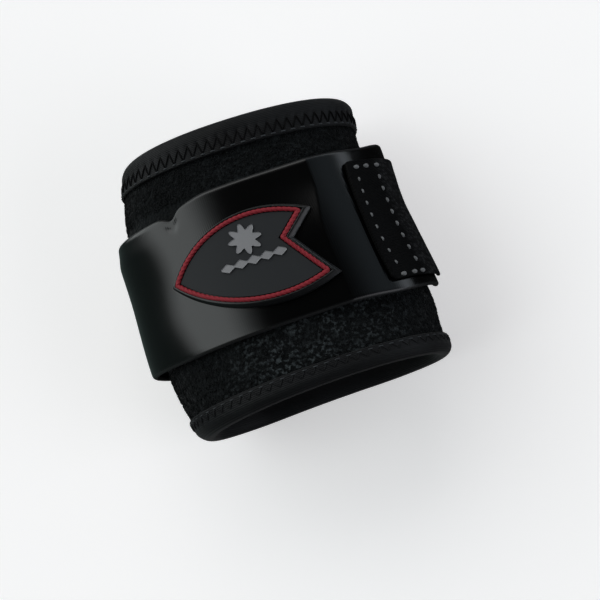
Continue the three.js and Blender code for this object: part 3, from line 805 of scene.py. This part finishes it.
for index in range(cord_count):
    twist = math.pi * turns * index / cord_count
    reach = CORD_RADIUS * (CORD_CORE + CORD_LOBE * np.abs(np.cos(1.5 * angle + twist)))
    out = PIECE_GAP + BADGE_THICKNESS - GROOVE_DEPTH + CORD_RADIUS + reach * np.sin(angle)
    points = cord_line[index] + cord_side[index] * (reach * np.cos(angle))[:, None]
    rings.append([cord.verts.new((*point, up)) for point, up in zip(points, out)])
skin(cord, rings + rings[:1])
cord = lay(cord, "badge_cord_twist", on_badge)
red = finish("red cord", (0.27, 0.022, 0.032), 0.6, Specular_IOR_Level=0.2)[0]
belongs(cord, red, "red_rubber", "badge_cord")


# Motifs: a plain rosette and a row of lozenges of pale rubber. They are moulded on the badge's field,
# with bevelled edges.
ROSETTE_MIDDLE, ROSETTE_RADIUS, ROSETTE_SIDES = np.array([0.06, 0.4]), 4.1, 96
ROSETTE_PETALS, PETAL_DEPTH = 8, 0.2
LOZENGE_MIDDLE, LOZENGE_COUNT = np.array([0.075, -0.045]), 5
LOZENGE_LENGTH, LOZENGE_HEIGHT, LOZENGE_NECK = 3.2, 2.4, 0.5
MOTIF_RISE, MOTIF_BEVEL, MOTIF_SINK = 0.6, 0.15, 0.05
angle = -2 * math.pi * np.arange(ROSETTE_SIDES) / ROSETTE_SIDES
reach = ROSETTE_RADIUS * (1 - PETAL_DEPTH * (1 - np.cos(ROSETTE_PETALS * angle)))
rosette_outline = np.stack([reach * np.cos(angle), reach * np.sin(angle)], 1)
rosette_outline = rosette_outline + ROSETTE_MIDDLE * BADGE_HALF
starts = (np.arange(LOZENGE_COUNT) - LOZENGE_COUNT / 2) * LOZENGE_LENGTH
top_side = [point for start in starts for point in (
    (start, LOZENGE_NECK / 2), (start + LOZENGE_LENGTH / 2, LOZENGE_HEIGHT / 2))]
top_side.append((starts[-1] + LOZENGE_LENGTH, LOZENGE_NECK / 2))
lozenge_outline = np.array(top_side + [(x, -y) for x, y in top_side[::-1]])
lozenge_outline = lozenge_outline + LOZENGE_MIDDLE * BADGE_HALF
pale = finish("pale rubber", (0.25, 0.25, 0.26), 0.5)[0]
for name, outline, node_name in (("rosette_relief", rosette_outline, "badge_rosette"),
                                 ("lozenge_relief", lozenge_outline, "badge_lozenges")):
    motif = bmesh.new()
    face = motif.faces.new([motif.verts.new((*point, field - MOTIF_SINK)) for point in outline])
    walls = bmesh.ops.extrude_face_region(motif, geom=[face], use_keep_orig=True)["geom"]
    top = [item for item in walls if isinstance(item, bmesh.types.BMFace)]
    bmesh.ops.translate(motif, verts=top[0].verts, vec=(0, 0, MOTIF_RISE - MOTIF_BEVEL))
    bmesh.ops.inset_region(motif, faces=top, thickness=MOTIF_BEVEL, depth=MOTIF_BEVEL,
                           use_even_offset=True)
    for cut in BEND_CUTS:
        bmesh.ops.bisect_plane(motif, geom=motif.verts[:] + motif.edges[:] + motif.faces[:],
                               plane_co=(cut, 0, 0), plane_no=(1, 0, 0))
    motif = belongs(lay(motif, name, on_badge), pale, "pale_rubber", node_name)
    motif.data.set_sharp_from_angle(angle=math.radians(35))


# Pile: the sleeve's loop face is brushed, so that short looped strands stand all over it wherever it
# isn't under the strap or the tapes. They are made as two pieces, on the strap's two sides.
STRAND_COUNT, STRAND_RADIUS = 9800, 0.000062
STRAND_REACH, STRAND_MARGIN = 31.6, 0.5
STRAND_COLOR, STRAND_LINT_COLOR = (0.0066, 0.0077, 0.0082), (0.070, 0.082, 0.087)
draw = np.random.default_rng(7)
for side, way in (("hand", 1), ("arm", -1)):
    hoop = draw.uniform(-GIRTH / 2, GIRTH / 2, 6 * STRAND_COUNT)
    along = draw.uniform(0, STRAND_REACH, 6 * STRAND_COUNT)
    strapped = np.where(hoop < STRAP_END + STRAND_MARGIN, hoop, hoop - GIRTH)
    edge = np.where(strapped > STRAP_START - STRAND_MARGIN,
                    way * strap_along(strapped) + STRAP_WIDTH / 2 + STRAND_MARGIN, 0)
    clear = np.flatnonzero((along > edge) & (along < TAPE_EDGE[side] - 0.2))[:STRAND_COUNT]
    hoop, along = hoop[clear, None], way * along[clear, None]
    share = np.linspace(0, 1, 4)
    turned = draw.uniform(0, 2 * math.pi, (len(clear), 1))
    length = draw.uniform(0.7, 1.7, (len(clear), 1))
    curl = draw.uniform(-0.5, 0.5, (len(clear), 1)) * np.sin(math.pi * share)
    hoop = hoop + length * ((share - 0.5) * np.cos(turned) - curl * np.sin(turned))
    along = along + length * ((share - 0.5) * np.sin(turned) + curl * np.cos(turned))
    rise = -0.15 + draw.uniform(0.2, 0.5, (len(clear), 1)) * np.sin(math.pi * share)
    paths = on_sleeve(hoop.ravel(), along.ravel(), rise.ravel()).reshape(len(clear), 4, 3)
    strands = threads(side + "_pile_strands", paths, STRAND_RADIUS)
    strand_tone, tree, shader = finish(side + " pile strands", PILE_COLOR, 0.6,
                                       Specular_IOR_Level=0.15)
    color = linty(tree, (*STRAND_COLOR, 1), STRAND_LINT_COLOR)
    tree.links.new(color, shader.inputs["Base Color"])
    belongs(strands, strand_tone, "pile_fabric")


# Floor: a plain sheet of pale paper under the support. It glows a little, so that it stays even and
# pale round the support, and the strap's gloss doesn't show it.
FLOOR_SIZE = 6.0
bpy.ops.mesh.primitive_plane_add(size=FLOOR_SIZE)
floor = bpy.context.object
floor.name = "studio_floor"
paper = finish("pale paper", (0.905, 0.885, 0.882), 0.9, Specular_IOR_Level=0.0,
               Emission_Color=(1, 1, 1, 1), Emission_Strength=0.43)[0]
floor.data.materials.append(paper)
floor.visible_glossy = False


# Light: soft boxes in a dark sky. Each has its colour and strength, then its share by height (0 at
# the horizon, 1 overhead), by side (0 at the left, -X, 1 at the right, +X) and by end (0 at the
# forearm's end, -Y, 1 at the hand's).
SKY_BOXES = (
    # the large one at the left, which draws the long shine on the strap
    ((1.70, 1.80, 1.80), ((0.238, 0), (0.276, 1), (0.85, 1), (0.88, 0.6), (0.93, 0)),
     ((0.24, 1), (0.30, 0)), ((0.2, 0), (0.38, 1))),
    # a dim greenish one below it
    ((0.055, 0.080, 0.075), ((0.12, 1), (0.2, 0)), ((0.24, 1), (0.30, 0)), ()),
    # beyond the hand's end, for the rims that face it
    ((1.5, 1.5, 1.5), ((0.2, 0), (0.45, 1), (0.80, 1), (0.88, 0)),
     ((0.2, 0), (0.3, 1), (0.70, 1), (0.76, 0)), ((0.5, 0), (0.6, 1))),
    # at the right of the forearm's end, for the rims that face it
    ((1.3, 1.3, 1.4), ((0.2, 0), (0.35, 1), (0.70, 1), (0.78, 0)),
     ((0.74, 0), (0.9, 1)), ((0.4, 1), (0.5, 0))),
    # a faint one at the right, for the band of light beside the tab
    ((0.20, 0.24, 0.27), ((0.22, 0), (0.36, 1), (0.60, 1), (0.78, 0)),
     ((0.68, 0), (0.80, 1)), ((0.5, 0), (0.6, 1))),
    # a low one at the right, for the cloth on that side
    ((1.6, 1.75, 1.9), ((0.02, 0), (0.06, 1), (0.18, 1), (0.26, 0)), ((0.7, 0), (0.78, 1)), ()),
)
LEANING_BOXES, BOX_LEAN = 2, 3.2  # the first two lean, higher toward the forearm
SKY_REST = 0.012
world = bpy.data.worlds.new("studio")
world.use_nodes = True
tree = world.node_tree
way = node(tree, "SeparateXYZ", {0: node(tree, "TexCoord").outputs["Generated"]}).outputs
height_squared = maths(tree, "MULTIPLY", way[2], way[2])
level = maths(tree, "POWER", maths(tree, "SUBTRACT", 1.0, height_squared), 0.5)
side, end = (maths(tree, "MULTIPLY_ADD", maths(tree, "DIVIDE", axis, level), 0.5)
             for axis in way[:2])
lean = node(tree, "MapRange", {
    "Value": way[1], "From Min": 0.1, "From Max": 0.35,
    "To Min": -0.1 * BOX_LEAN, "To Max": 0.15 * BOX_LEAN}).outputs[0]
lifted = maths(tree, "MULTIPLY", maths(tree, "SUBTRACT", 1.0, way[2]), lean)
leaning = maths(tree, "ADD", way[2], lifted)
glow = (SKY_REST, SKY_REST, SKY_REST)
for index, (color, heights, sides, ends) in enumerate(SKY_BOXES):
    height = leaning if index < LEANING_BOXES else way[2]
    box = maths(tree, "MULTIPLY", ramp(tree, height, *heights), ramp(tree, side, *sides))
    if ends:
        box = maths(tree, "MULTIPLY", box, ramp(tree, end, *ends))
    lit = node(tree, "VectorMath", {0: color, "Scale": box}, operation="SCALE").outputs[0]
    glow = node(tree, "VectorMath", {0: lit, 1: glow}, operation="ADD").outputs[0]
tree.links.new(glow, tree.nodes["Background"].inputs["Color"])
bpy.context.scene.world = world
bpy.context.scene.view_settings.view_transform = "Standard"


# Camera: a long lens high above the badge and a little toward the forearm, turned so that the
# support leans as worn.
CAMERA_DISTANCE, CAMERA_LEAN, CAMERA_ROLL = 540.0, 9.8, 17.0
CAMERA_LENS, CAMERA_SHIFT = 124.0, (20 / 600, -37 / 600)
CAMERA_AIM = np.array([0.0, 0.0, 24.0])
lean, roll = math.radians(CAMERA_LEAN), math.radians(CAMERA_ROLL)
back = np.array([0, -math.sin(lean), math.cos(lean)])
level, upward = np.array([1, 0, 0]), np.array([0, math.cos(lean), math.sin(lean)])
right = level * math.cos(roll) - upward * math.sin(roll)
up = level * math.sin(roll) + upward * math.cos(roll)
axes = np.stack([right, up, back], 1)
place = (CAMERA_AIM + ROW_ORIGIN + back * CAMERA_DISTANCE) / 1000
seen_by = bpy.data.cameras.new("camera")
seen_by.lens, (seen_by.shift_x, seen_by.shift_y) = CAMERA_LENS, CAMERA_SHIFT
camera = bpy.data.objects.new("camera", seen_by)
camera.matrix_world = Matrix([[*row, at] for row, at in zip(axes, place)] + [[0, 0, 0, 1]])
bpy.context.scene.collection.objects.link(camera)
bpy.context.scene.camera = camera
